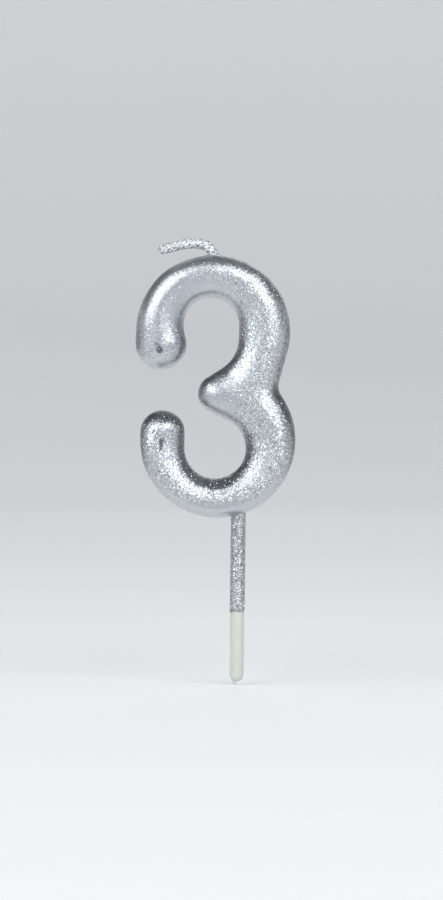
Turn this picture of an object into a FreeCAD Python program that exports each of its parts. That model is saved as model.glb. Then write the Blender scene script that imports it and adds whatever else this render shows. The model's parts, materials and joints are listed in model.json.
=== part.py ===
import FreeCAD, Part
import math
import os

# Number birthday candle in the shape of a 3: a moulded wax numeral under a silver lacquer skin, a braided
# wick folded over at the top, and a plastic pick below. All sizes are in millimetres.
# Frame: +Z up, the numeral lies in the XZ plane and faces -Y. The origin is on the pick's axis, where
# the pick's lacquer ends, which is the level of the cake.

# ---- Driving dimensions --------------------------------------------------------------------------------

DEPTH = 10.0                 # thickness of the numeral, front to back
EDGE_ROUND = 4.5             # rounding of the front and back edges, nearly a full half round
COAT = 0.15                  # lacquer on the numeral

UPPER_BOWL = (-5.82, 67.97, 18.67)      # outer circle of the upper bowl: X, Z, radius
LOWER_BOWL = (-4.73, 41.69, 18.81)      # outer circle of the lower bowl
UPPER_END = (-18.45, 64.95, 6.15)       # rounded end of the upper stroke, a little wider than the stroke
LOWER_END = (-18.10, 43.60, 5.35)       # rounded end of the lower stroke
ARM_END = (-4.60, 52.90, 4.80)          # rounded end of the middle arm
UPPER_EYE = (-6.25, 69.45, 6.75)        # top of the upper opening
UPPER_EYE_LOW = (-7.80, 66.30, 8.20)    # lower right of the upper opening, down to the arm
LOWER_EYE = (-5.33, 39.75, 7.39)        # the lower opening
WAIST = (13.50, 54.70, 3.50)            # hollow on the right, where the bowls meet

WICK_R = 1.15                # braided wick with its wax
WICK_ROOT = (-5.35, 86.20)   # where the wick leaves the numeral: X, Z
WICK_PIVOT = (-6.90, 88.75)  # the fold
WICK_BEND_R = 3.0            # bend inside the wax, from the root to the stroke's middle line
WICK_UPPER = (-6.00, 68.40, 12.70)      # middle line of the right-hand stroke, upper bowl
WICK_WAIST = (13.50, 54.70, 7.00)
WICK_LOWER = (-5.00, 40.80, 13.20)      # middle line of the right-hand stroke, lower bowl
WICK_FOOT = -50.0            # direction from the lower bowl's middle where the wick ends, degrees
KNUCKLE_R = 1.25             # round start of the tail, on the pivot
KNUCKLE_GAP = 0.05           # clearance between the knuckle and the stub
STUB_DROP = 1.1              # the stub's rim lies this far before the pivot
TAIL_PATH = ((-9.00, 89.48), (-13.00, 89.25), (-16.40, 88.27), (-18.67, 87.99))
TAIL_BEND_R = (5.0, 12.0, 12.0)

PICK_R = 1.64                # plastic pick, along its bare shank
PICK_TOP_R = 1.56            # at its upper end, from the moulding draft above the shank
PICK_STRAIGHT = 15.4         # bare straight length below the lacquer
PICK_TIP = 1.4               # length of the rounded end
PICK_TIP_FLAT_R = 0.7        # small flat at the very end
NIB_R = 0.42                 # gate mark on the tip
NIB_X = -0.5
NIB_LENGTH = 0.9
PICK_TOP = 32.4              # upper end of the pick, inside the wax
RING_R = 2.05                # rings that hold the pick in the wax
RING_FOOT_R = 1.50           # lower, narrow side of a ring, just inside the shank
RING_HEIGHTS = (26.2, 28.4, 30.6)
RING_HEIGHT = 1.3
PICK_COAT = 0.14             # lacquer on the pick, which is grainier than on the numeral

Vec = FreeCAD.Vector
CCW = 1
CW = -1


# ---- Outline helpers -----------------------------------------------------------------------------------

def at(x, z, y=0.0):
    """A point given by its place in the numeral's plane."""
    return Vec(x, y, z)


def belt_tangent(first, turn_a, second, turn_b):
    """Ends of the straight run between two circles that a belt goes round, each with its turn."""
    ax, az, ar = first
    bx, bz, br = second
    dx, dz = bx - ax, bz - az
    span = math.hypot(dx, dz)
    # The run's direction makes this angle with the line between the centres.
    tilt = math.asin((turn_a * ar - turn_b * br) / span)
    direction = math.atan2(dz, dx) + tilt
    # The belt passes on the right-hand side of a circle that it goes round counter-clockwise.
    side_x, side_z = math.sin(direction), -math.cos(direction)
    leave = (ax + turn_a * ar * side_x, az + turn_a * ar * side_z)
    arrive = (bx + turn_b * br * side_x, bz + turn_b * br * side_z)
    return leave, arrive


def arc_edge(circle, turn, start, end):
    """The arc of a circle from one point to another, the given way round."""
    cx, cz, radius = circle
    first = math.atan2(start[1] - cz, start[0] - cx)
    last = math.atan2(end[1] - cz, end[0] - cx)
    sweep = (turn * (last - first)) % (2 * math.pi)
    middle = first + turn * sweep / 2
    mid_point = at(cx + radius * math.cos(middle), cz + radius * math.sin(middle))
    return Part.Arc(at(*start), mid_point, at(*end)).toShape()


def belt(circles):
    """Closed outline: a belt round the circles, each (circle, turn), with straight runs between."""
    runs = []
    for index, (circle, turn) in enumerate(circles):
        following, next_turn = circles[(index + 1) % len(circles)]
        runs.append(belt_tangent(circle, turn, following, next_turn))
    edges = []
    for index, (circle, turn) in enumerate(circles):
        arrive = runs[index - 1][1]
        leave, next_arrive = runs[index]
        edges.append(arc_edge(circle, turn, arrive, leave))
        edges.append(Part.LineSegment(at(*leave), at(*next_arrive)).toShape())
    return Part.Wire(edges)


def grown(circle, turn, amount):
    """The same circle for an outline that lies further out by amount."""
    x, z, radius = circle
    return (x, z, radius + turn * amount)


def numeral(grow):
    """The numeral as a solid, grown on every side by the given amount."""
    outline = ((UPPER_BOWL, CCW), (UPPER_END, CCW), (UPPER_EYE, CW), (UPPER_EYE_LOW, CW), (ARM_END, CCW),
               (LOWER_EYE, CW), (LOWER_END, CCW), (LOWER_BOWL, CCW), (WAIST, CW))
    wire = belt([(grown(circle, turn, grow), turn) for circle, turn in outline])
    wire.translate(Vec(0, -DEPTH / 2 - grow, 0))
    block = Part.Face(wire).extrude(Vec(0, DEPTH + 2 * grow, 0))
    rims = [edge for edge in block.Edges
            if abs(abs(edge.CenterOfMass.y) - DEPTH / 2 - grow) < 0.01]
    return block.makeFillet(EDGE_ROUND + grow, rims)


# ---- Wick ----------------------------------------------------------------------------------------------

def round_path(points, radii):
    """Straight runs through the points, with a tangent arc of the given radius at each inner point."""
    corners = [at(*point) for point in points]
    edges = []
    start = corners[0]
    for before, corner, after, radius in zip(corners, corners[1:], corners[2:], radii):
        back = (before - corner).normalize()
        ahead = (after - corner).normalize()
        half = back.getAngle(ahead) / 2
        reach = radius / math.tan(half)
        centre = corner + (back + ahead).normalize() * (radius / math.sin(half))
        arc_start = corner + back * reach
        arc_end = corner + ahead * reach
        arc_mid = centre + (corner - centre).normalize() * radius
        edges.append(Part.LineSegment(start, arc_start).toShape())
        edges.append(Part.Arc(arc_start, arc_mid, arc_end).toShape())
        start = arc_end
    edges.append(Part.LineSegment(start, corners[-1]).toShape())
    return Part.Wire(edges)


def tube(path, radius):
    """A round rod along a path."""
    first = path.Edges[0]
    begin = first.valueAt(first.FirstParameter)
    heading = first.tangentAt(first.FirstParameter)
    ring = Part.Wire(Part.Circle(begin, heading, radius).toShape())
    return path.makePipeShell([ring], True, True)


def wick_line():
    """Middle line of the fixed wick: from the fold down into the wax and along the right-hand stroke."""
    lean = at(WICK_ROOT[0] - WICK_PIVOT[0], WICK_ROOT[1] - WICK_PIVOT[1]).normalize()
    # The bend circle touches the line through the pivot and the root, and the stroke's middle line.
    upper_x, upper_z, upper_r = WICK_UPPER
    side = at(-lean.z, lean.x)
    reach = upper_r + WICK_BEND_R
    base = at(*WICK_ROOT) + side * WICK_BEND_R - at(upper_x, upper_z)
    along = base.dot(lean)
    slide = -along - math.sqrt(along ** 2 - base.dot(base) + reach ** 2)
    centre = at(*WICK_ROOT) + side * WICK_BEND_R + lean * slide
    bend = (centre.x, centre.z, WICK_BEND_R)
    bend_start = centre - side * WICK_BEND_R
    touch = at(upper_x, upper_z) + (centre - at(upper_x, upper_z)).normalize() * upper_r
    leave_upper, reach_waist = belt_tangent(WICK_UPPER, CW, WICK_WAIST, CCW)
    leave_waist, reach_lower = belt_tangent(WICK_WAIST, CCW, WICK_LOWER, CW)
    foot_angle = math.radians(WICK_FOOT)
    foot = (WICK_LOWER[0] + WICK_LOWER[2] * math.cos(foot_angle),
            WICK_LOWER[1] + WICK_LOWER[2] * math.sin(foot_angle))
    return Part.Wire([
        Part.LineSegment(at(*WICK_PIVOT), bend_start).toShape(),
        arc_edge(bend, CCW, (bend_start.x, bend_start.z), (touch.x, touch.z)),
        arc_edge(WICK_UPPER, CW, (touch.x, touch.z), leave_upper),
        Part.LineSegment(at(*leave_upper), at(*reach_waist)).toShape(),
        arc_edge(WICK_WAIST, CCW, reach_waist, leave_waist),
        Part.LineSegment(at(*leave_waist), at(*reach_lower)).toShape(),
        arc_edge(WICK_LOWER, CW, reach_lower, foot)])


def fixed_wick():
    """The embedded wick and its stub, which ends in a shallow cup under the fold."""
    rod = tube(wick_line(), WICK_R)
    pivot = at(*WICK_PIVOT)
    upward = (pivot - at(*WICK_ROOT)).normalize()
    rim = pivot - upward * STUB_DROP
    beyond = Part.makeCylinder(2 * WICK_R, 2 * STUB_DROP, rim, upward)
    knuckle_room = Part.makeSphere(KNUCKLE_R + KNUCKLE_GAP, pivot)
    return rod.cut(beyond).cut(knuckle_room)


def free_wick():
    """The folded tail, with a round knuckle on the pivot."""
    rod = tube(round_path((WICK_PIVOT,) + TAIL_PATH, TAIL_BEND_R), WICK_R)
    return rod.fuse(Part.makeSphere(KNUCKLE_R, at(*WICK_PIVOT))).removeSplitter()


# ---- Pick ----------------------------------------------------------------------------------------------

def pick():
    """The plastic pick: round shank, rounded tip with the gate's nib, and holding rings at the top."""
    end = -PICK_STRAIGHT - PICK_TIP
    shoulder = PICK_R - PICK_TIP_FLAT_R
    diagonal = math.sqrt(0.5)
    tip_mid = at(PICK_TIP_FLAT_R + shoulder * diagonal, -PICK_STRAIGHT - PICK_TIP * diagonal)
    curve = Part.BSplineCurve()
    curve.interpolate(Points=[at(PICK_TIP_FLAT_R, end), tip_mid, at(PICK_R, -PICK_STRAIGHT)],
                      InitialTangent=at(1, 0), FinalTangent=at(0, 1))
    half = Part.Wire([
        Part.LineSegment(at(0, end), at(PICK_TIP_FLAT_R, end)).toShape(),
        curve.toShape(),
        Part.LineSegment(at(PICK_R, -PICK_STRAIGHT), at(PICK_R, 0)).toShape(),
        Part.LineSegment(at(PICK_R, 0), at(PICK_TOP_R, PICK_TOP)).toShape(),
        Part.LineSegment(at(PICK_TOP_R, PICK_TOP), at(0, PICK_TOP)).toShape(),
        Part.LineSegment(at(0, PICK_TOP), at(0, end)).toShape()])
    body = Part.Face(half).revolve(Vec(0, 0, 0), Vec(0, 0, 1), 360)
    for height in RING_HEIGHTS:
        ring = Part.makeCone(RING_FOOT_R, RING_R, RING_HEIGHT, Vec(0, 0, height - RING_HEIGHT / 2))
        body = body.fuse(ring)
    nib = Part.makeCone(NIB_R * 0.6, NIB_R, NIB_LENGTH + PICK_TIP, Vec(NIB_X, 0, end - NIB_LENGTH))
    return body.fuse(nib).removeSplitter()


def pick_coat(stick, coated_numeral):
    """Lacquer sleeve on the pick, from the cake's level up to the numeral."""
    sleeve = Part.makeCone(PICK_R + PICK_COAT, PICK_TOP_R + PICK_COAT, PICK_TOP)
    return sleeve.cut(stick).cut(coated_numeral)


# ---- Assembly ------------------------------------------------------------------------------------------

def only_solid(shape):
    """The single solid of a shape, and an error if there is more than one."""
    if len(shape.Solids) != 1:
        raise ValueError(f"expected one solid, found {len(shape.Solids)}")
    return shape.Solids[0]


def build():
    """Every node of the candle by name."""
    wax_form = numeral(0.0)
    coat_form = numeral(COAT)
    wick = fixed_wick()
    stick = pick()
    wax = wax_form.cut(wick).cut(stick)
    coat = coat_form.cut(wax_form).cut(wick).cut(stick)
    return {
        "wax_core": wax,
        "silver_coat": coat,
        "wick_core": wick,
        "wick_tail": free_wick(),
        "pick": stick,
        "pick_coat": pick_coat(stick, coat_form),
    }


os.makedirs("parts", exist_ok=True)
for name, shape in build().items():
    solid = only_solid(shape)
    if not solid.isValid():
        raise ValueError(f"{name} is not valid")
    solid.exportStep(f"parts/{name}.step")
    box = solid.BoundBox
    print(f"{name}: {solid.Volume:.2f} mm3, X {box.XMin:.2f}..{box.XMax:.2f}, "
          f"Y {box.YMin:.2f}..{box.YMax:.2f}, Z {box.ZMin:.2f}..{box.ZMax:.2f}")
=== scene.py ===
import json
import math

import bmesh
import bpy
import numpy as np
from bpy.props import FloatProperty, FloatVectorProperty, IntProperty, PointerProperty
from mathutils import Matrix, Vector


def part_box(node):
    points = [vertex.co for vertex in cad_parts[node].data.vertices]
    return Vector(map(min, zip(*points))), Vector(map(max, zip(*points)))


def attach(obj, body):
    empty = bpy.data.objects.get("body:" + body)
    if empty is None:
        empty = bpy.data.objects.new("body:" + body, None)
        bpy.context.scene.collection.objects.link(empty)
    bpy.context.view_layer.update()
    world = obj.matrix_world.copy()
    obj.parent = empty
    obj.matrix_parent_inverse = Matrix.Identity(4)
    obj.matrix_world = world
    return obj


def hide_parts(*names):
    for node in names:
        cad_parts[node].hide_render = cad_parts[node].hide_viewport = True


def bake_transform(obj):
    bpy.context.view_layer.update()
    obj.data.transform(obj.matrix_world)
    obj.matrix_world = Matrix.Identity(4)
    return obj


bl_info = {
    "name": "Number Candle",
    "version": (1, 0, 0),
    "blender": (4, 5, 0),
    "location": "3D View > Sidebar > Candle",
    "description": "Builds the visible pieces of a silver glitter number candle round its packed frame",
    "category": "Object",
}

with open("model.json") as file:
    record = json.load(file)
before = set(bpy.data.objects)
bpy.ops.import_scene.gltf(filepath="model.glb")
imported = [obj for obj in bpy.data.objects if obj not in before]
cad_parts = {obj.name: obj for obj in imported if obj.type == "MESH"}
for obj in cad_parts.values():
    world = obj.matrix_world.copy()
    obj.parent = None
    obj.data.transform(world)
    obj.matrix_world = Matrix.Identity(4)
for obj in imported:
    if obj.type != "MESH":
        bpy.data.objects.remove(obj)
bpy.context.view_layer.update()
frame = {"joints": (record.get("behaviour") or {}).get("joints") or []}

MM = 0.001
CANDLE_BODY, WICK_BODY = "candle", "folded_wick"
SKIN_HIGH = np.array(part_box("silver_coat")[1])
STICK_LOW, STICK_HIGH = (np.array(corner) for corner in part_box("pick"))
SLEEVE_HIGH = np.array(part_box("pick_coat")[1])
FOLD = np.array(frame["joints"][0]["pos_m"], float)

# The stroke's outline as a belt round circles: X, Z and radius in millimetres, the way round (+1 where
# the edge bulges out and -1 where it is hollow), and how much further than the middle line the crest
# lies from that edge, as a share. The two edges of each bowl have opposite shares, so they agree on it.
STROKE_CIRCLES = np.array((
    (-5.82, 67.97, 18.67, 1, -0.07),     # upper bowl
    (-18.45, 64.95, 6.15, 1, 0.0),       # end of the upper stroke
    (-6.25, 69.45, 6.75, -1, 0.07),      # upper eye
    (-7.80, 66.30, 8.20, -1, 0.13),      # upper eye, lower right
    (-4.60, 52.90, 4.80, 1, 0.10),       # end of the middle arm
    (-5.33, 39.75, 7.39, -1, 0.34),      # lower eye
    (-18.10, 43.60, 5.35, 1, 0.0),       # end of the lower stroke
    (-4.73, 41.69, 18.81, 1, -0.34),     # lower bowl
    (13.50, 54.70, 3.50, -1, -0.13),     # hollow of the waist
))

# Small scars in the lacquer: X, Z, half length, half width, lean from upright in degrees, depth, and
# the end that narrows (+1 the lower, -1 the upper, 0 neither).
SCARS = np.array((
    (-18.95, 63.80, 1.55, 1.22, -27.0, 0.26, -1),
    (-18.20, 40.50, 1.90, 0.88, 5.0, 0.34, 1),
    (-20.15, 43.75, 0.70, 0.24, 32.0, 0.10, 0),
    (-19.30, 43.15, 0.80, 0.22, 30.0, 0.10, 0),
    (-19.75, 42.00, 0.75, 0.20, 12.0, 0.08, 0),
    (-0.30, 79.20, 0.38, 0.30, 0.0, 0.12, 0),
))

# The wick's middle line as offsets from the fold, X and Z in millimetres, and its radius there.
WICK_LINE = np.array((
    (2.60, -5.00, 1.12),
    (1.75, -2.95, 1.12),
    (1.15, -1.75, 1.15),
    (0.35, -0.45, 1.24),
    (-1.20, 0.52, 1.26),
    (-3.60, 0.72, 1.22),
    (-6.30, 0.42, 1.17),
    (-8.90, -0.32, 1.16),
    (-11.00, -0.74, 1.20),
    (-11.85, -0.80, 1.38),
))

# Three fibres that hang from the wick: which ring of the wick, counted from its end, the direction, and
# the length in millimetres.
HANGING_RINGS = [-46, -36, -27]
HANGING_HEADINGS = np.array(((0.7, 0.0, -1.0), (-0.1, 0.2, -1.0), (0.2, -0.2, -1.0)))
HANGING_LENGTHS = (1.9, 1.6, 1.1)

# The soft lights: name, place, and width and height, in metres.
LIGHTS = (
    ("left_light", (-0.96, -0.95, 0.90), (1.58, 1.28)),
    ("right_light", (0.73, -1.16, 0.87), (1.35, 1.31)),
    ("back_light", (0.20, 1.55, 1.05), (1.60, 0.90)),
)

SEEDS = {"lumps": 2, "fibres": 3, "glitter": 5, "sleeve": 7, "relief": 11}


# ---- Settings ------------------------------------------------------------------------------------------

def length(name, description, default):
    """A length property in metres."""
    return FloatProperty(name=name, description=description, default=default, unit="LENGTH", precision=5)


def colour(name, description, default):
    """A colour property."""
    return FloatVectorProperty(name=name, description=description, default=default, subtype="COLOR",
                               min=0.0, max=1.0)


def watts(name, description, default):
    """A light's power in watts."""
    return FloatProperty(name=name, description=description, default=default, unit="POWER")


class NumeralSettings(bpy.types.PropertyGroup):
    """Shape and colours of the wax numeral and its lacquer."""
    half_depth: length("Half depth", "From the middle plane to the front", float(SKIN_HIGH[1]))
    lacquer: length("Lacquer", "Thickness of the lacquer on the wax", 0.15 * MM)
    fullness: FloatProperty(name="Fullness", description="Section exponent: 2 is an ellipse", default=2.0)
    voxel: length("Mesh size", "Edge length of the finished surface", 0.30 * MM)
    wave: length("Waviness", "Height of the slow unevenness of hand-poured wax", 0.05 * MM)
    grain: length("Grain", "Height of the lacquer's grain", 0.005 * MM)
    silver: colour("Silver", "Lacquer between the flakes", (0.43, 0.46, 0.49))
    bright: colour("Bright flake", "Lightest flakes in the lacquer", (0.95, 0.97, 0.99))
    # Painted shade: the dark colour laid on the sides of the stroke, most of all on those that face up.
    bare: colour("Thin lacquer", "Where the lacquer is thin, on the sides", (0.17, 0.185, 0.20))
    # Painted reflection: the paler silver laid on the surfaces that face down.
    painted_underside_light: colour("Thick lacquer", "Where the lacquer ran together, on the undersides", (0.66, 0.69, 0.72))
    scarred: colour("Scar", "Where a scar shows the dark under the lacquer", (0.13, 0.155, 0.175))
    wax: colour("Wax", "Paraffin under the lacquer", (0.84, 0.81, 0.73))


class GlitterSettings(bpy.types.PropertyGroup):
    """The loose-laid flakes that stand out of the lacquer."""
    numeral_count: IntProperty(name="Flakes on the numeral", description="Number of flakes", default=7500)
    sleeve_count: IntProperty(name="Flakes on the pick", description="Number of flakes", default=1000)
    wick_count: IntProperty(name="Flakes on the wick", description="Number of flakes", default=700)
    radius: length("Flake radius", "Middle radius of a flake", 0.095 * MM)
    tilt: FloatProperty(name="Tilt", description="How far a flake leans from the surface",
                        default=math.radians(26), subtype="ANGLE")
    foil: colour("Foil", "Colour of a flake", (0.90, 0.92, 0.94))


class WickSettings(bpy.types.PropertyGroup):
    """The braided wick."""
    stitch: length("Stitch", "Length of one stitch of the braid", 0.62 * MM)
    relief: FloatProperty(name="Relief", description="Height of the stitches against the radius",
                          default=0.05)
    lump: FloatProperty(name="Lumps", description="Height of uneven lumps against the radius",
                        default=0.055)
    fibre: length("Fibre radius", "Radius of a loose cotton fibre", 0.05 * MM)
    cotton: colour("Cotton", "Silvered cotton", (0.66, 0.70, 0.73))
    bright: colour("Bright strand", "Strands that catch the lacquer", (0.92, 0.94, 0.95))
    # Painted shade laid between the stitches.
    gap: colour("Gap", "Between the stitches", (0.10, 0.11, 0.12))


class PickSettings(bpy.types.PropertyGroup):
    """The plastic pick and its lacquer sleeve."""
    radius: length("Radius", "Radius of the bare shank", 1.64 * MM)
    lean: FloatProperty(name="Lean", description="Sideways shift for each unit of height", default=0.012)
    ivory: colour("Ivory", "Colour of the plastic", (0.555, 0.595, 0.545))
    seam: colour("Seam", "Colour along the parting line", (0.42, 0.46, 0.34))


class StageSettings(bpy.types.PropertyGroup):
    """Floor, lights and camera."""
    lens: FloatProperty(name="Lens", description="Focal length in millimetres", default=85.0)
    distance: length("Distance", "From the camera to the candle", 0.515)
    left_light: watts("Left light", "Power of the left soft light", 17.0)
    right_light: watts("Right light", "Power of the right soft light", 16.2)
    back_light: watts("Back light", "Power of the soft light behind", 4.5)
    glow: FloatProperty(name="Paper glow", description="Light that the paper gives off by itself",
                        default=0.30)
    paper: colour("Paper", "Colour of the floor and its sweep", (0.72, 0.73, 0.74))
    air: colour("Air", "Colour of the light from all round", (0.62, 0.66, 0.70))
    air_strength: FloatProperty(name="Air strength", description="Strength of the light from all round",
                                default=0.24)


# ---- Mesh helpers --------------------------------------------------------------------------------------

def grid_faces(rows, columns, wrap_columns=False):
    """Quads between the points of a rows x columns grid; the last column can join the first."""
    row = np.arange(rows - 1)
    column = np.arange(columns if wrap_columns else columns - 1)
    i, j = np.meshgrid(row, column, indexing="ij")
    after = (j + 1) % columns
    this_row, next_row = i * columns, (i + 1) * columns
    quads = np.stack([this_row + j, next_row + j, next_row + after, this_row + after], -1)
    return quads.reshape(-1, 4)


def fan_faces(pole, ring):
    """Triangles from one pole point to each edge of a closed ring of points."""
    return np.stack([np.full(len(ring), pole), ring, np.roll(ring, -1)], -1)


def new_object(name, mesh, material, smooth=True):
    """An object at the origin for a mesh, with its normals turned outwards."""
    work = bmesh.new()
    work.from_mesh(mesh)
    bmesh.ops.recalc_face_normals(work, faces=work.faces)
    work.to_mesh(mesh)
    work.free()
    mesh.polygons.foreach_set("use_smooth", np.full(len(mesh.polygons), smooth))
    mesh.materials.append(material)
    piece = bpy.data.objects.new(name, mesh)
    bpy.context.scene.collection.objects.link(piece)
    return piece


def mesh_from(name, points, *face_groups):
    """A mesh from an array of points and arrays of faces."""
    mesh = bpy.data.meshes.new(name)
    faces = [face for group in face_groups for face in group.tolist()]
    mesh.from_pydata(points.reshape(-1, 3).tolist(), [], faces)
    return mesh


def read_points(mesh, kind="vertices", field="co"):
    """An N x 3 array of a mesh's points or normals."""
    source = getattr(mesh, kind)
    values = np.empty(len(source) * 3, np.float32)
    source.foreach_get(field, values)
    return values.reshape(-1, 3).astype(float)


def write_attribute(mesh, name, values):
    """A number for each point of a mesh, which a material can read."""
    attribute = mesh.attributes.new(name, "FLOAT", "POINT")
    attribute.data.foreach_set("value", np.asarray(values, np.float32))


def smooth_step(low, high, value):
    """0 below low, 1 above high and a soft slope between."""
    t = np.clip((value - low) / (high - low), 0, 1)
    return t * t * (3 - 2 * t)


def finished_mesh(piece, *modifiers):
    """The piece's mesh with modifiers, each a type and its settings, worked in."""
    for kind, settings in modifiers:
        modifier = piece.modifiers.new(kind, kind)
        for key, value in settings.items():
            setattr(modifier, key, value)
    bpy.context.view_layer.update()
    mesh = bpy.data.meshes.new_from_object(piece.evaluated_get(bpy.context.evaluated_depsgraph_get()))
    piece.modifiers.clear()
    old = piece.data
    piece.data = mesh
    bpy.data.meshes.remove(old)
    return mesh


def b_spline(knots, count):
    """Points on a uniform cubic B-spline that starts and ends on its first and last knot.

    Each point is a blend of four knots in a row, weighted by the cubic basis of its place between
    the middle two. The end knots count three times."""
    padded = np.concatenate([knots[:1], knots[:1], knots, knots[-1:], knots[-1:]])
    place = np.linspace(0, len(padded) - 3, count)
    first = np.minimum(place.astype(int), len(padded) - 4)
    t = (place - first)[:, None]
    weights = ((1 - t) ** 3 / 6, (3 * t ** 3 - 6 * t ** 2 + 4) / 6,
               (-3 * t ** 3 + 3 * t ** 2 + 3 * t + 1) / 6, t ** 3 / 6)
    return sum(weight * padded[first + step] for step, weight in enumerate(weights))


def tube(centres, radii, sides, name, depth_axis=(0.0, 1.0, 0.0)):
    """A closed tube: rings round the centres, and a pole at each end.

    Ring point = centre + radius * (cos a * side + sin a * up), where side lies across the path and
    near depth_axis, and up is square to both. radii is one number for each ring point."""
    centres = np.asarray(centres, float)
    heading = np.gradient(centres, axis=0)
    heading /= np.linalg.norm(heading, axis=1)[:, None]
    across = np.asarray(depth_axis) - heading * (heading @ np.asarray(depth_axis))[:, None]
    across /= np.linalg.norm(across, axis=1)[:, None]
    up = np.cross(heading, across)
    angle = np.linspace(0, 2 * np.pi, sides, endpoint=False)
    ring = np.cos(angle)[None, :, None] * across[:, None] + np.sin(angle)[None, :, None] * up[:, None]
    shell = centres[:, None] + np.broadcast_to(radii, ring.shape[:2])[..., None] * ring
    count = len(centres) * sides
    points = np.concatenate([shell.reshape(-1, 3), centres[:1], centres[-1:]])
    first, last = np.arange(sides), np.arange(count - sides, count)
    return mesh_from(name, points, grid_faces(len(centres), sides, True),
                     fan_faces(count, first[::-1]), fan_faces(count + 1, last))


def slow_noise(points, generator, wavelength, terms=14):
    """A smooth random field between about -1 and 1: a sum of sine waves in random directions."""
    direction = generator.normal(size=(terms, 3))
    direction /= np.linalg.norm(direction, axis=1)[:, None]
    pace = 2 * np.pi / (wavelength * generator.uniform(0.7, 1.6, terms))
    phase = generator.uniform(0, 2 * np.pi, terms)
    return np.sin(points @ (direction * pace[:, None]).T + phase).sum(axis=1) / math.sqrt(terms)


# ---- Shader helpers ------------------------------------------------------------------------------------

class Value:
    """A shader socket that adds Math nodes when it is used in an expression."""

    def __init__(self, tree, socket):
        self.tree = tree
        self.socket = socket

    def math(self, operation, *operands):
        return self.tree.node("ShaderNodeMath", {"operation": operation}, dict(enumerate(operands)))

    def __add__(self, other):
        return self.math("ADD", self, other)

    def __sub__(self, other):
        return self.math("SUBTRACT", self, other)

    def __rsub__(self, other):
        return self.math("SUBTRACT", other, self)

    def __mul__(self, other):
        return self.math("MULTIPLY", self, other)

    __radd__ = __add__
    __rmul__ = __mul__

    def ramp(self, low, high):
        """0 below low and 1 above high, with a soft slope between."""
        return self.tree.node("ShaderNodeMapRange", {"interpolation_type": "SMOOTHSTEP"},
                              {0: self, 1: low, 2: high, 3: 0.0, 4: 1.0})


class Finish:
    """A material whose nodes are added by name."""

    def __init__(self, name):
        self.material = bpy.data.materials.new(name)
        self.material.use_nodes = True
        self.nodes = self.material.node_tree.nodes
        self.links = self.material.node_tree.links
        self.shader = self.nodes["Principled BSDF"]

    def node(self, kind, settings=None, inputs=None, output=0):
        """Adds a node, sets it, fills its sockets with numbers or links, and gives one output."""
        node = self.nodes.new(kind)
        for key, value in (settings or {}).items():
            setattr(node, key, value)
        self.fill(node, inputs or {})
        return Value(self, node.outputs[output])

    def fill(self, node, inputs):
        """Sets or links the named sockets of a node."""
        for key, value in inputs.items():
            if isinstance(value, Value):
                self.links.new(value.socket, node.inputs[key])
            else:
                node.inputs[key].default_value = value

    def place(self):
        """The point on the piece, in metres."""
        return self.node("ShaderNodeTexCoord", output="Object")

    def blend(self, factor, first, second):
        """A mix of two colours."""
        return self.node("ShaderNodeMix", {"data_type": "RGBA"},
                         {"Factor": factor, 6: opaque(first), 7: opaque(second)}, output=2)

    def vector(self, operation, *operands):
        """A Vector Math node."""
        return self.node("ShaderNodeVectorMath", {"operation": operation}, dict(enumerate(operands)))

    def attribute(self, name):
        """A number stored on the mesh."""
        return self.node("ShaderNodeAttribute", {"attribute_name": name}, output="Fac")

    def noise(self, scale):
        """Soft noise from 0 to 1, with its scale in cells for each metre."""
        return self.node("ShaderNodeTexNoise", None,
                         {"Vector": self.place(), "Scale": scale, "Detail": 3.0})

    def cells(self, size):
        """Random colour of the flake-sized cell that a point lies in."""
        return self.node("ShaderNodeTexVoronoi", None, {"Vector": self.place(), "Scale": 1 / size},
                         output="Color")

    def channel(self, colour, index=0):
        """One of a colour's three numbers."""
        return self.node("ShaderNodeSeparateColor", None, {0: colour}, output=index)

    def tilted_normal(self, lean, *fields):
        """The surface normal leaned at random from cell to cell."""
        normal = self.node("ShaderNodeNewGeometry", output="Normal")
        for field in fields:
            centred = self.vector("SUBTRACT", field, (0.5, 0.5, 0.5))
            offset = self.node("ShaderNodeVectorMath", {"operation": "SCALE"}, {0: centred, "Scale": lean})
            normal = self.vector("ADD", normal, offset)
        return self.vector("NORMALIZE", normal)

    def surface(self, **inputs):
        """Sets the Principled sockets; underscores in the names stand for spaces."""
        self.fill(self.shader, {key.replace("_", " "): value for key, value in inputs.items()})
        return self.material


def opaque(value):
    """A colour with its alpha, or a link as it is."""
    return value if isinstance(value, Value) else (*value, 1.0)


# ---- Materials -----------------------------------------------------------------------------------------

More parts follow.
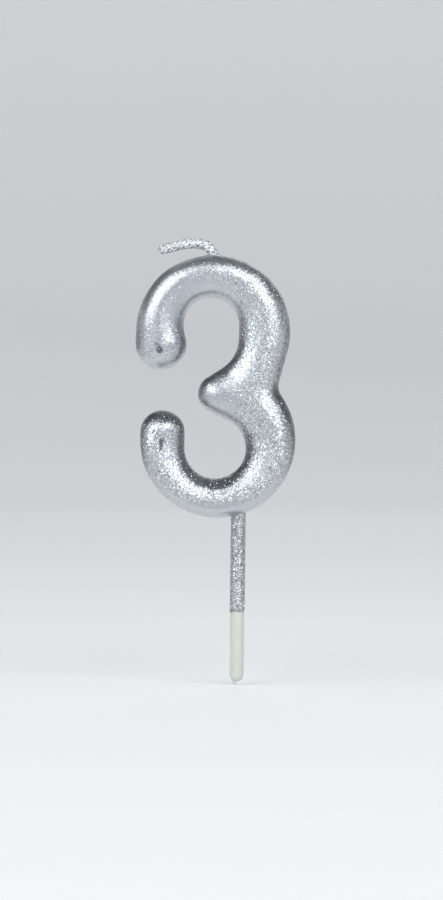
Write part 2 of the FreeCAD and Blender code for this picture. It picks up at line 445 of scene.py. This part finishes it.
def silver_lacquer(settings, name, cell, lean, worn):
    """Silver lacquer full of fine flakes: each cell has its own lean, brightness and gloss.

    On the worn numeral, the mesh says how thickly the flakes lie, where a paler silver is painted on the
    undersides as a painted reflection, where a dark speckle is painted on the sides as painted shade, most
    of all on those that face up, and where a scar shows the dark under it. The sleeve has flakes all over
    and a duller silver."""
    finish = Finish(name)
    fine = finish.cells(cell)
    coarse = finish.cells(cell * 1.6)
    speck, chance = finish.channel(fine), finish.channel(fine, 1)
    grains = finish.attribute("grains") if worn else 1.0
    patch = finish.noise(160.0)
    brightness = 1.0 if worn else 0.84
    silver = [c * brightness for c in settings.silver]
    glint = speck.ramp(0.70, 0.97) * grains
    ground = finish.blend(patch.ramp(0.3, 0.7) * 0.4, silver, [c * 0.90 for c in silver])
    shadow = finish.blend(speck.ramp(0.30, 0.0) * grains * 0.45, ground, [c * 0.55 for c in silver])
    coat = finish.blend(glint * 0.85, shadow, settings.bright)
    rough = 0.28 + patch * 0.04 - glint * 0.05 + grains * 0.01
    stray = chance.ramp(0.86, 0.93) * grains
    if worn:
        # Painted shade: the sides are darkened with a speckled dark colour where the 'thin' mask is high.
        bare = (finish.attribute("thin") * 1.15 - chance * 0.60).ramp(0.0, 0.7)
        # Painted reflection: the surfaces that face down are lightened towards a paler silver.
        coat = finish.blend(finish.attribute("under") * 0.75, coat, settings.painted_underside_light)
        coat = finish.blend(bare, coat, settings.bare)
        scar = finish.attribute("scar")
        coat = finish.blend(scar, coat, settings.scarred)
        rough = rough + scar * 0.25
    tilt = lean * (stray * 0.9 + grains * 0.20 + 0.03)
    return finish.surface(Base_Color=coat, Metallic=0.90, Roughness=rough,
                          Normal=finish.tilted_normal(tilt, fine, coarse))


def foil_flake(settings):
    """Bright metal foil of the single flakes."""
    finish = Finish("foil_flake")
    tone = finish.channel(finish.cells(0.5 * MM))
    foil = finish.blend(tone, [c * 0.8 for c in settings.foil], settings.foil)
    return finish.surface(Base_Color=foil, Metallic=1.0, Roughness=0.16 + tone * 0.16)


def silvered_cotton(settings):
    """Waxed cotton under silver lacquer, with painted shade between the stitches."""
    finish = Finish("silvered_cotton")
    fine = finish.cells(0.16 * MM)
    speck = finish.channel(fine)
    cotton = finish.blend(speck.ramp(0.5, 1.0), settings.cotton, settings.bright)
    # Painted shade between the stitches.
    shaded = finish.blend(finish.attribute("hollow") * 0.85, cotton, settings.gap)
    return finish.surface(Base_Color=shaded, Metallic=0.55, Roughness=0.46 + speck * 0.15,
                          Normal=finish.tilted_normal(0.55, fine))


def ivory_plastic(settings):
    """Moulded ivory plastic, a little cloudy, with a darker parting line."""
    finish = Finish("ivory_plastic")
    cloud = finish.noise(420.0)
    tone = finish.blend(cloud.ramp(0.3, 0.75) * 0.5, settings.ivory, [c * 0.86 for c in settings.ivory])
    plastic = finish.blend(finish.attribute("seam") * 0.8, tone, settings.seam)
    bump = finish.node("ShaderNodeBump", None, {"Strength": 0.12, "Distance": 0.05 * MM,
                                                "Height": finish.noise(2600.0)})
    return finish.surface(Base_Color=plastic, Roughness=0.34 + cloud * 0.12, Normal=bump,
                          Subsurface_Weight=0.12, Subsurface_Radius=(1.0, 0.9, 0.6),
                          Subsurface_Scale=1.2 * MM)


def paraffin(settings):
    """Milky paraffin wax."""
    finish = Finish("paraffin")
    cloud = finish.noise(300.0)
    tone = finish.blend(cloud, settings.wax, [c * 0.92 for c in settings.wax])
    return finish.surface(Base_Color=tone, Roughness=0.42 + cloud * 0.1, Subsurface_Weight=0.25,
                          Subsurface_Radius=(1.0, 0.8, 0.6), Subsurface_Scale=2.0 * MM)


def seamless_paper(settings):
    """Matte pale paper of the floor, which gives off a little light of its own."""
    finish = Finish("seamless_paper")
    return finish.surface(Base_Color=opaque(settings.paper), Roughness=0.9, Specular_IOR_Level=0.2,
                          Emission_Color=opaque(settings.paper), Emission_Strength=settings.glow)


# ---- The numeral ---------------------------------------------------------------------------------------

def stroke_outline(count):
    """Points, outward normals and crest shifts, evenly spaced along the belt round the stroke's circles.

    The straight run between two circles leans from their line of centres by the angle whose sine is
    the difference of the signed radii over the distance. Each point is then found from its distance
    along the belt, on the arc or the run that holds it. Round the waist, 41 to 55 mm up, the crest
    shifts fade out and turn slightly the other way."""
    centre, radius = STROKE_CIRCLES[:, :2] * MM, STROKE_CIRCLES[:, 2] * MM
    turn, crest = STROKE_CIRCLES[:, 3], STROKE_CIRCLES[:, 4]
    signed = radius * turn
    ahead = np.roll(centre, -1, axis=0) - centre
    lean = np.arcsin((signed - np.roll(signed, -1)) / np.hypot(*ahead.T))
    direction = np.arctan2(ahead[:, 1], ahead[:, 0]) + lean
    side = np.stack([np.sin(direction), -np.cos(direction)], -1)
    leave = centre + signed[:, None] * side
    reach = np.roll(centre, -1, axis=0) + np.roll(signed, -1)[:, None] * side
    arrive = np.roll(reach, 1, axis=0) - centre
    start = np.arctan2(arrive[:, 1], arrive[:, 0])
    finish = np.arctan2(*(leave - centre).T[::-1])
    arc = radius * ((turn * (finish - start)) % (2 * np.pi))
    run = np.linalg.norm(reach - leave, axis=1)
    ends = np.cumsum(np.stack([arc, run], -1))
    place = np.arange(count) * ends[-1] / count
    piece = np.searchsorted(ends, place, side="right")
    into = place - np.concatenate([[0], ends])[piece]
    k = piece // 2
    angle = start[k] + turn[k] * into / radius[k]
    spoke = np.stack([np.cos(angle), np.sin(angle)], -1)
    on_arc = centre[k] + radius[k, None] * spoke
    on_run = leave[k] + (reach[k] - leave[k]) * (into / run[k])[:, None]
    straight = (piece % 2 == 1)[:, None]
    outline = np.where(straight, on_run, on_arc)
    outward = np.where(straight, side[k], turn[k, None] * spoke)
    z = outline[:, 1] / MM
    waist = smooth_step(41, 49, z) * smooth_step(55, 51, z)
    window = np.hanning(count // 24)
    shift = np.convolve(np.tile(crest[k] * (1 - 1.25 * waist), 3), window / window.sum(), "same")
    return outline, outward, shift[count:2 * count]


def half_width(points, inward):
    """How far the stroke's middle line lies inside each outline point.

    It is the radius of the largest disc that touches the outline there from inside: the least
    |PQ|^2 / (2 n.PQ) over all other outline points Q, where n is the inward normal."""
    gap = points[None] - points[:, None]
    depth = np.einsum("ijk,ik->ij", gap, inward)
    square = (gap ** 2).sum(-1)
    reach = np.where(depth > 1e-12, square / np.maximum(2 * depth, 1e-12), np.inf).min(axis=1)
    window = np.hanning(13) / np.hanning(13).sum()
    return np.convolve(np.concatenate([reach[-6:], reach, reach[:6]]), window, "valid")


def stroke_surface(name, material, settings, shrink, voxel):
    """The numeral as one closed skin, shrunk by a thickness.

    Over each outline point the section rises from the rim to the middle line as a quarter of a
    superellipse, front and back: inset = half width * (1 - cos(a)^k), depth = half depth * sin(a)^k,
    with a from -90 to 90 degrees and k = 2 / fullness. Past the middle line the section folds straight
    through to the other face, so that it is closed, and the remesh joins both sides into one skin."""
    outline_points, section_points = 1500, 61
    points, outward, shift = stroke_outline(outline_points)
    width = half_width(points, -outward) * (1 + shift) - shrink
    angle = np.linspace(-np.pi / 2, np.pi / 2, section_points)[:, None]
    power = 2 / settings.fullness
    inset = shrink + width * (1 - np.cos(angle).clip(0) ** power)
    depth = (settings.half_depth - shrink) * np.sign(angle) * np.abs(np.sin(angle)) ** power
    past = inset[-1:] + 0.3 * MM
    inset = np.concatenate([inset, past, past, inset[:1]])
    depth = np.concatenate([depth, depth[-1:], depth[:1], depth[:1]])
    flat = points[None] - outward[None] * inset[..., None]
    shell = np.stack([flat[..., 0], np.broadcast_to(depth, inset.shape), flat[..., 1]], -1)
    piece = new_object(name, mesh_from(name, shell, grid_faces(*inset.shape, True)), material)
    finished_mesh(piece, ("REMESH", {"mode": "VOXEL", "voxel_size": voxel}),
                  ("SMOOTH", {"factor": 0.5, "iterations": 8}))
    return piece


def scar_depth(points):
    """Depth of the scars under each point, and how strong their dark mark is.

    A scar is a long dent on the front: depth * exp(-|u/a|^3 - (w/b)^2) along and across it. Its
    width b shrinks towards one end, so it ends in a point."""
    front = points[:, 1] < 0
    deep, dark = np.zeros(len(points)), np.zeros(len(points))
    for x, z, a, b, lean, depth, narrow in SCARS:
        along_x, along_z = math.sin(math.radians(lean)), math.cos(math.radians(lean))
        dx, dz = points[:, 0] / MM - x, points[:, 2] / MM - z
        u, w = dx * along_x + dz * along_z, dx * along_z - dz * along_x
        slim = b * (0.62 + 0.38 * narrow * np.tanh(1.5 * u / a))
        blot = np.exp(-np.abs(u / a) ** 3 - (w / slim) ** 2) * front
        deep += depth * MM * blot
        dark = np.maximum(dark, smooth_step(0.32, 0.62, blot))
    return deep, dark


def glitter_share(points):
    """How thickly the flakes lie: many on the right-hand side and below, and few at the upper left, on
    the middle arm and along the lowest rim."""
    x, z = points[:, 0] / MM, points[:, 2] / MM
    right = smooth_step(-16, 10, x)
    low = smooth_step(80, 46, z)
    arm = (smooth_step(-13, -10.5, x) * smooth_step(3, -3, x)
           * smooth_step(46, 49, z) * smooth_step(62, 58, z))
    share = 0.22 + 0.78 * np.maximum(right * 0.9, low)
    return share * (1 - 0.75 * smooth_step(28.5, 26.0, z)) * (1 - 0.65 * arm)


def rim_shade_share(points, normals):
    """How much painted shade each point gets, from 0 to about 1.

    It is painted on the stroke's sides, most of all on those that face up, and less so near the top of the
    numeral. Where the lower bowl faces up the strip is wider, and the lower stroke's tip is all shaded."""
    x, depth, z = (points / MM).T
    low = smooth_step(58, 50, z) * smooth_step(0.2, 0.6, normals[:, 2])
    side = smooth_step(4.5 + 0.4 * low, 2.5 + 1.3 * low, np.abs(depth))
    upward = smooth_step(-0.90, 0.15, normals[:, 2])
    share = 0.12 + 0.72 * upward + 0.25 * smooth_step(0.2, 0.9, normals[:, 2])
    tip = smooth_step(44.4, 46.6, z) * smooth_step(-11, -14, x) * smooth_step(54, 51, z)
    return np.maximum(side * share * (1 - 0.74 * smooth_step(58, 82, z)), 0.85 * tip)


def relief(piece, settings, generator):
    """Moves the lacquer's points along their normals and stores what its material reads.

    The shift is slow waves, plus grain, plus the mould's parting line, less the depth of the scars."""
    wavelength, seam_height, seam_width = 9 * MM, 0.03 * MM, 0.22 * MM
    mesh = piece.data
    points, normals = read_points(mesh), read_points(mesh, "vertex_normals", "vector")
    deep, dark = scar_depth(points)
    wave = settings.wave * slow_noise(points, generator, wavelength)
    grain = settings.grain * generator.normal(size=len(points)) * (0.35 + 0.65 * glitter_share(points))
    seam = seam_height * np.exp(-(points[:, 1] / seam_width) ** 2)
    shift = wave + grain + seam - deep
    mesh.vertices.foreach_set("co", (points + normals * shift[:, None]).astype(np.float32).ravel())
    write_attribute(mesh, "scar", dark)
    write_attribute(mesh, "grains", glitter_share(points))
    # Painted shade on the sides, stored as 'thin'.
    write_attribute(mesh, "thin", rim_shade_share(points, normals))
    # Painted reflection on the surfaces that face down, stored as 'under'.
    write_attribute(mesh, "under", smooth_step(-0.15, -0.65, normals[:, 2]))
    mesh.update()


class CANDLE_OT_numeral(bpy.types.Operator):
    """Builds the wax numeral and the silver lacquer over it"""
    bl_idname = "candle.numeral"
    bl_label = "Numeral"

    def execute(self, context):
        settings = context.scene.candle_numeral
        under_lacquer, wax_voxel = 2.2 * settings.lacquer, 0.5 * MM
        wax = stroke_surface("numeral_wax", paraffin(settings), settings, under_lacquer, wax_voxel)
        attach(wax, CANDLE_BODY)
        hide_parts("wax_core")
        lacquer = silver_lacquer(settings, "glitter_lacquer", 0.22 * MM, 1.0, True)
        skin = stroke_surface("numeral_lacquer", lacquer, settings, 0.0, settings.voxel)
        relief(skin, settings, np.random.default_rng(SEEDS["relief"]))
        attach(skin, CANDLE_BODY)
        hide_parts("silver_coat")
        return {"FINISHED"}


# ---- Glitter -------------------------------------------------------------------------------------------

def scatter(mesh, count, generator, weight=None):
    """Random places and normals on a mesh: triangles drawn by area times weight, a point in each."""
    mesh.calc_loop_triangles()
    corners = np.empty(len(mesh.loop_triangles) * 3, np.int32)
    mesh.loop_triangles.foreach_get("vertices", corners)
    corners = corners.reshape(-1, 3)
    points, normals = read_points(mesh), read_points(mesh, "vertex_normals", "vector")
    a, b, c = (points[corners[:, k]] for k in range(3))
    area = np.linalg.norm(np.cross(b - a, c - a), axis=1)
    if weight is not None:
        area = area * weight((a + b + c) / 3)
    chosen = generator.choice(len(corners), count, p=area / area.sum())
    share = generator.dirichlet((1, 1, 1), count)
    place = (points[corners[chosen]] * share[..., None]).sum(1)
    normal = (normals[corners[chosen]] * share[..., None]).sum(1)
    return place, normal / np.linalg.norm(normal, axis=1)[:, None]


def flake_mesh(name, place, normal, radius, tilt, generator):
    """Six-sided foil plates: a rim round a leaned axis, with a low crown above and a root in the lacquer.

    Rim point k = place + radius * (cos(60 k + spin) * a + sin(60 k + spin) * b), where a and b span
    the plane across the axis."""
    count = len(place)
    axis = normal + np.tan(tilt) * generator.normal(size=(count, 3)) * 0.6
    axis /= np.linalg.norm(axis, axis=1)[:, None]
    a = np.cross(axis, generator.normal(size=(count, 3)))
    a /= np.linalg.norm(a, axis=1)[:, None]
    b = np.cross(axis, a)
    size = radius * generator.lognormal(0.0, 0.28, count).clip(0.5, 1.9)
    spin = generator.uniform(0, np.pi, count)[:, None] + np.arange(6) * np.pi / 3
    rim = a[:, None] * np.cos(spin)[..., None] + b[:, None] * np.sin(spin)[..., None]
    centre = place + normal * (0.12 * size)[:, None]
    rim = centre[:, None] + rim * size[:, None, None]
    crown = centre + axis * (0.05 * size)[:, None]
    root = centre - axis * (0.45 * size)[:, None]
    points = np.concatenate([rim, crown[:, None], root[:, None]], axis=1)
    k = np.arange(6)
    upper = np.stack([k, (k + 1) % 6, np.full(6, 6)], -1)
    lower = np.stack([(k + 1) % 6, k, np.full(6, 7)], -1)
    faces = (np.arange(count) * 8)[:, None, None] + np.concatenate([upper, lower])
    return mesh_from(name, points, faces.reshape(-1, 3))


class CANDLE_OT_glitter(bpy.types.Operator):
    """Lays glitter flakes on the numeral, the pick's sleeve and the wick"""
    bl_idname = "candle.glitter"
    bl_label = "Glitter"

    def execute(self, context):
        settings = context.scene.candle_glitter
        foil = foil_flake(settings)
        generator = np.random.default_rng(SEEDS["glitter"])
        bases = ("numeral_lacquer", "pick_lacquer", "braided_wick")
        skin, sleeve, wick = (bpy.data.objects[base] for base in bases)
        batches = (
            ("numeral_glitter", skin, settings.numeral_count, glitter_share, 1.0),
            ("pick_glitter", sleeve, settings.sleeve_count, None, 1.05),
            ("wick_glitter", wick, settings.wick_count, None, 0.72),
        )
        for name, base, count, weight, scale in batches:
            place, normal = scatter(base.data, count, generator, weight)
            mesh = flake_mesh(name, place, normal, settings.radius * scale, settings.tilt, generator)
            piece = new_object(name, mesh, foil, smooth=False)
            if base is wick:
                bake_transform(piece)
            else:
                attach(piece, CANDLE_BODY)
        return {"FINISHED"}


# ---- The wick ------------------------------------------------------------------------------------------


def braid(settings):
    """The wick's line, its ring radii, and how deep each ring point lies between the stitches, which sets
    the painted shade there.

    Two families of strands wind round the tube in opposite ways and the higher one shows. Lumps are a
    slow noise: radius = r * (1 + relief * strand height + lump height * noise)."""
    rings, sides, snake, end_rounding = 420, 48, 0.18 * MM, 0.35 * MM
    line = b_spline(WICK_LINE, rings)
    centres = FOLD + np.stack([line[:, 0], np.zeros(rings), line[:, 1]], -1) * MM
    step = np.linalg.norm(np.diff(centres, axis=0), axis=1)
    along = np.concatenate([[0], np.cumsum(step)])[:, None]
    angle = np.linspace(0, 2 * np.pi, sides, endpoint=False)
    centres[:, 1] += snake * np.sin(along[:, 0] / (4.3 * MM))
    turn = np.pi * along / settings.stitch
    left, right = np.cos(5 * angle + turn), np.cos(3 * angle - 0.7 * turn)
    height = np.maximum(left, 0.7 * right)
    round_path = np.stack([along + 0 * angle, 1.2 * MM * np.cos(angle) + 0 * along,
                           1.2 * MM * np.sin(angle) + 0 * along], -1).reshape(-1, 3)
    lump = slow_noise(round_path, np.random.default_rng(SEEDS["lumps"]), 0.48 * MM, 60)
    lump = lump.reshape(height.shape)
    radius = line[:, 2:] * MM * (1 + settings.relief * (height - 0.35) + settings.lump * lump)
    ends = np.minimum(along, along[-1] - along) / end_rounding
    radius = radius * np.sqrt(1 - (1 - np.clip(ends, 0, 1)) ** 2).clip(0.02)
    return centres, radius, smooth_step(0.45, -0.65, height * 0.6 + lump * 0.6)


def fibres(centres, generator, settings):
    """Loose cotton fibres: a tuft that splays from the cut end, strays along the wick and a few that hang.

    Each fibre is a thin four-sided rod that curves away from its root: root + heading * s + sag * s^2."""
    tuft, strays, rings, sides = 70, 60, 7, 4
    tip_heading = centres[-1] - centres[-12]
    tip_heading /= np.linalg.norm(tip_heading)
    spread = generator.normal(size=(tuft, 3))
    tuft_root = centres[-8] + (spread - (spread @ tip_heading)[:, None] * tip_heading) * 0.42 * MM
    tuft_heading = tip_heading + generator.normal(size=(tuft, 3)) * 0.55
    stray_at = generator.integers(90, len(centres) - 12, strays)
    away = generator.normal(size=(strays, 3))
    away /= np.linalg.norm(away, axis=1)[:, None]
    stray_root = centres[stray_at] + away * 0.9 * MM
    stray_heading = away + (centres[stray_at + 10] - centres[stray_at]) / (0.4 * MM)
    hanging_root = centres[HANGING_RINGS] - np.array((0, 0.3, 1.0)) * MM
    root = np.concatenate([tuft_root, stray_root, hanging_root])
    heading = np.concatenate([tuft_heading, stray_heading, HANGING_HEADINGS])
    heading /= np.linalg.norm(heading, axis=1)[:, None]
    reach = np.concatenate([generator.uniform(0.4, 1.1, tuft), generator.uniform(0.2, 0.5, strays),
                            HANGING_LENGTHS]) * MM
    s = np.linspace(0, 1, rings)[:, None]
    droop = np.array((0, 0, 0.18)) * reach[:, None]
    sag = generator.normal(size=root.shape) * 0.25 * reach[:, None] - droop
    path = root[:, None] + heading[:, None] * (s * reach[:, None, None]) + sag[:, None] * s ** 2
    a = np.cross(heading, generator.normal(size=heading.shape))
    a /= np.linalg.norm(a, axis=1)[:, None]
    b = np.cross(heading, a)
    angle = np.arange(sides) * np.pi / 2
    ring = a[:, None] * np.cos(angle)[:, None] + b[:, None] * np.sin(angle)[:, None]
    taper = settings.fibre * (1 - 0.75 * s)
    points = path[:, :, None] + ring[:, None] * taper[:, None]
    quads = grid_faces(rings, sides, True)
    caps = np.array(((3, 2, 1, 0), tuple((rings - 1) * sides + k for k in range(sides))))
    faces = (np.arange(len(root)) * rings * sides)[:, None, None] + np.concatenate([quads, caps])
    return points.reshape(-1, 3), faces.reshape(-1, 4)


class CANDLE_OT_wick(bpy.types.Operator):
    """Builds the braided wick with its frayed end, bent over at the fold"""
    bl_idname = "candle.wick"
    bl_label = "Wick"

    def execute(self, context):
        settings = context.scene.candle_wick
        centres, radius, hollow = braid(settings)
        cotton = silvered_cotton(settings)
        mesh = tube(centres, radius, hollow.shape[1], "braided_wick")
        wick = new_object("braided_wick", mesh, cotton)
        # Painted shade between the stitches, which the cotton reads.
        write_attribute(wick.data, "hollow", np.concatenate([hollow.ravel(), (0, 0)]))
        points, faces = fibres(centres, np.random.default_rng(SEEDS["fibres"]), settings)
        fuzz = new_object("wick_fibres", mesh_from("wick_fibres", points, faces), cotton)
        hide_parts("wick_core", "wick_tail")
        for piece in (wick, fuzz):
            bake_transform(piece)
        return {"FINISHED"}


# ---- The pick ------------------------------------------------------------------------------------------

def pick_line(heights, settings):
    """Middle points of the pick, which leans a little to one side."""
    return np.stack([settings.lean * heights, np.zeros_like(heights), heights], -1)


def pick_shell(settings):
    """The plastic pick: straight shank, a rounded tip and holding rings inside the wax.

    Radius = shank * rounded end + rings + a raised parting line on two sides, less two shallow grooves
    on the front and a nick on the left edge."""
    shoulder = 1.9 * MM
    tip = STICK_LOW[2] + 0.9 * MM
    rings, sides = 520, 72
    share = np.linspace(0, 1, rings)
    heights = tip + (STICK_HIGH[2] - tip) * (0.25 * share + 0.75 * share ** 1.6)
    above = np.clip((heights - tip) / shoulder, 0, 1)
    round_end = (1 - (1 - above) ** 2.3) ** (1 / 2.3)
    angle = np.linspace(0, 2 * np.pi, sides, endpoint=False)
    side, front = np.cos(angle), -np.sin(angle)
    rise = heights[:, None]
    first_ring, last_ring, pitch, ring_height = 25.5 * MM, 31.9 * MM, 2.2 * MM, 0.38 * MM
    saw = ((rise - first_ring) / pitch) % 1.0
    held = smooth_step(first_ring, 25.9 * MM, rise) * smooth_step(last_ring, 31.5 * MM, rise)
    holding = ring_height * saw * held
    x = side * settings.radius / MM
    groove = np.exp(-((x + 0.80) / 0.11) ** 2) * (front > 0)
    second = 0.45 * np.exp(-((x + 0.25) / 0.14) ** 2) * (front > 0)
    worn = smooth_step(tip + 1.2 * MM, tip + 3.5 * MM, rise)
    nick = 0.20 * MM * np.exp(-((rise + 9.3 * MM) / (0.55 * MM)) ** 2) * np.exp(-((x + 1.7) / 0.7) ** 2)
    parting = 0.035 * MM * np.exp(-(front / 0.06) ** 2)
    seam = (groove + second) * worn
    radius = settings.radius * round_end[:, None] + holding + parting * round_end[:, None]
    radius = radius - 0.06 * MM * seam - nick
    return pick_line(heights, settings), radius, seam


class CANDLE_OT_pick(bpy.types.Operator):
    """Builds the ivory plastic pick and its glitter sleeve"""
    bl_idname = "candle.pick"
    bl_label = "Pick"

    def execute(self, context):
        settings = context.scene.candle_pick
        line, radius, seam = pick_shell(settings)
        ivory = ivory_plastic(settings)
        shell = tube(line, radius, radius.shape[1], "pick_stick", (1.0, 0.0, 0.0))
        stick = new_object("pick_stick", shell, ivory)
        write_attribute(stick.data, "seam", np.concatenate([seam.ravel(), (0, 0)]))
        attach(stick, CANDLE_BODY)
        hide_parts("pick")
        nib = new_object("pick_nib", nib_mesh(settings), ivory)
        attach(nib, CANDLE_BODY)
        grainy = silver_lacquer(context.scene.candle_numeral, "grainy_lacquer", 0.24 * MM, 1.4, False)
        shell = sleeve_mesh(settings, np.random.default_rng(SEEDS["sleeve"]))
        sleeve = new_object("pick_lacquer", shell, grainy)
        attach(sleeve, CANDLE_BODY)
        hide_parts("pick_coat")
        return {"FINISHED"}


def nib_mesh(settings):
    """The gate's nib: a small blunt cone with a bent tip, off the pick's middle."""
    share = np.linspace(0, 1, 14)
    low = STICK_LOW[2]
    line = np.stack([(-0.50 - 0.10 * (1 - share)) * MM, 0 * share, low + 0.15 * MM + share * 1.7 * MM], -1)
    line[:, 0] += settings.lean * low
    radius = (0.30 + 0.45 * share) * np.sqrt(1 - (1 - np.clip(share / 0.25, 0, 1)) ** 2).clip(0.05) * MM
    return tube(line, radius[:, None], 20, "pick_nib", (1.0, 0.0, 0.0))


def sleeve_mesh(settings, generator):
    """Lacquer sleeve on the pick: a tube with a grainy skin and an uneven lower edge.

    Its height runs from an edge that wanders with the angle up into the numeral, and its radius
    closes onto the pick at both ends."""
    rings, sides = 230, 76
    angle = np.linspace(0, 2 * np.pi, sides, endpoint=False)
    edge = (0.16 * np.sin(angle + 0.6) + 0.11 * np.sin(3 * angle + 2.0) + 0.06 * np.sin(7 * angle)) * MM
    share = np.linspace(0, 1, rings)[:, None]
    top = SLEEVE_HIGH[2] + 0.9 * MM
    heights = edge * (1 - share) ** 12 + share * top
    thickness = SLEEVE_HIGH[0] - settings.radius
    lip = np.sqrt(1 - (1 - np.clip(share * top / (0.35 * MM), 0, 1)) ** 2)
    lumps = generator.normal(size=(rings, sides))
    lumps = (lumps + np.roll(lumps, 1, 1) + np.roll(lumps, -1, 1)) / 3
    radius = settings.radius + (thickness + 0.045 * MM * lumps) * lip - 0.03 * MM * (1 - lip)
    points = np.stack([settings.lean * heights + radius * np.cos(angle), -radius * np.sin(angle),
                       heights], -1)
    inner, end = settings.radius - 0.12 * MM, heights[[0, -1]]
    bore = np.stack([settings.lean * end + inner * np.cos(angle), -inner * np.sin(angle) + 0 * end,
                     end], -1)
    count = rings * sides
    shell = np.concatenate([points.reshape(-1, 3), bore.reshape(-1, 3)])
    low, high = np.arange(sides), np.arange(count - sides, count)
    low_in, high_in = np.arange(count, count + sides), np.arange(count + sides, count + 2 * sides)

    def band(first, second):
        """Quads between two rings of point numbers."""
        return np.stack([first, np.roll(first, -1), np.roll(second, -1), second], -1)

    return mesh_from("pick_lacquer", shell, grid_faces(rings, sides, True), band(low, low_in),
                     band(low_in, high_in), band(high_in, high))


# ---- Stage ---------------------------------------------------------------------------------------------

def sweep_mesh(floor_height):
    """A round paper floor that curves up into a low wall all the way round.

    Along the profile, radius and height run flat to the bend, then a quarter circle, then straight up."""
    reach, bend, wall = 1.60, 0.90, 0.10
    flat_rings, sides = 30, 128
    angle = np.linspace(0, np.pi / 2, 40)[1:]
    radius = np.concatenate([np.linspace(0.02, reach, flat_rings), reach + bend * np.sin(angle),
                             [reach + bend]])
    height = np.concatenate([np.zeros(flat_rings), bend * (1 - np.cos(angle)), [bend + wall]])
    around = np.linspace(0, 2 * np.pi, sides, endpoint=False)
    points = np.stack([radius[:, None] * np.cos(around), radius[:, None] * np.sin(around),
                       np.broadcast_to(height[:, None] + floor_height, (len(radius), sides))], -1)
    rings = np.concatenate([points.reshape(-1, 3), [[0, 0, floor_height]]])
    return mesh_from("paper_sweep", rings, grid_faces(len(radius), sides, True),
                     fan_faces(len(radius) * sides, np.arange(sides)))


def soft_light(name, place, target, size, energy):
    """A rectangular soft light that faces a point."""
    lamp = bpy.data.lights.new(name, "AREA")
    lamp.shape = "RECTANGLE"
    lamp.size, lamp.size_y = size
    lamp.energy = energy
    holder = bpy.data.objects.new(name, lamp)
    bpy.context.scene.collection.objects.link(holder)
    aim(holder, place, target)
    holder.visible_camera = False


def aim(item, place, target):
    """Puts an object at a place, with its -Z axis towards a target and its top upwards."""
    item.location = place
    item.rotation_euler = (Vector(target) - Vector(place)).to_track_quat("-Z", "Y").to_euler()


class CANDLE_OT_stage(bpy.types.Operator):
    """Sets the paper floor, the soft lights and the camera"""
    bl_idname = "candle.stage"
    bl_label = "Stage"

    def execute(self, context):
        scene = context.scene
        settings = scene.candle_stage
        paper = new_object("paper_sweep", sweep_mesh(float(STICK_LOW[2])), seamless_paper(settings))
        middle = (-3.8 * MM, 0.0, 39.3 * MM)
        camera = bpy.data.cameras.new("camera")
        camera.lens, camera.sensor_width, camera.clip_start = settings.lens, 36.0, 0.01
        holder = bpy.data.objects.new("camera", camera)
        scene.collection.objects.link(holder)
        aim(holder, (middle[0], -settings.distance, middle[2]), middle)
        scene.camera = holder
        for name, place, size in LIGHTS:
            soft_light(name, place, middle, size, getattr(settings, name))
        world = bpy.data.worlds.new("studio")
        world.use_nodes = True
        background = world.node_tree.nodes["Background"]
        background.inputs["Color"].default_value = opaque(settings.air)
        background.inputs["Strength"].default_value = settings.air_strength
        scene.world = world
        scene.view_settings.view_transform = "Standard"
        return {"FINISHED"}


# ---- Panel and start -----------------------------------------------------------------------------------

class CANDLE_PT_panel(bpy.types.Panel):
    """Lists the candle's settings and the steps that build it"""
    bl_idname = "CANDLE_PT_panel"
    bl_label = "Number Candle"
    bl_space_type = "VIEW_3D"
    bl_region_type = "UI"
    bl_category = "Candle"

    def draw(self, context):
        for group in GROUPS:
            box = self.layout.box()
            box.label(text=group.replace("candle_", "").capitalize())
            settings = getattr(context.scene, group)
            for name in settings.bl_rna.properties.keys():
                if name not in ("rna_type", "name"):
                    box.prop(settings, name)
        for operator in OPERATORS:
            self.layout.operator(operator.bl_idname)


GROUPS = {
    "candle_numeral": NumeralSettings,
    "candle_glitter": GlitterSettings,
    "candle_wick": WickSettings,
    "candle_pick": PickSettings,
    "candle_stage": StageSettings,
}
OPERATORS = (CANDLE_OT_stage, CANDLE_OT_numeral, CANDLE_OT_wick, CANDLE_OT_pick, CANDLE_OT_glitter)


def register():
    """Registers the classes and the settings on the scene."""
    for item in (*GROUPS.values(), *OPERATORS, CANDLE_PT_panel):
        bpy.utils.register_class(item)
    for name, group in GROUPS.items():
        setattr(bpy.types.Scene, name, PointerProperty(type=group))


def unregister():
    """Removes the settings and the classes."""
    for name in GROUPS:
        delattr(bpy.types.Scene, name)
    for item in (CANDLE_PT_panel, *reversed(OPERATORS), *GROUPS.values()):
        bpy.utils.unregister_class(item)


def main():
    """Builds every piece in order."""
    register()
    for operator in OPERATORS:
        getattr(bpy.ops.candle, operator.bl_idname.split(".")[1])()


if __name__ == "__main__":
    main()
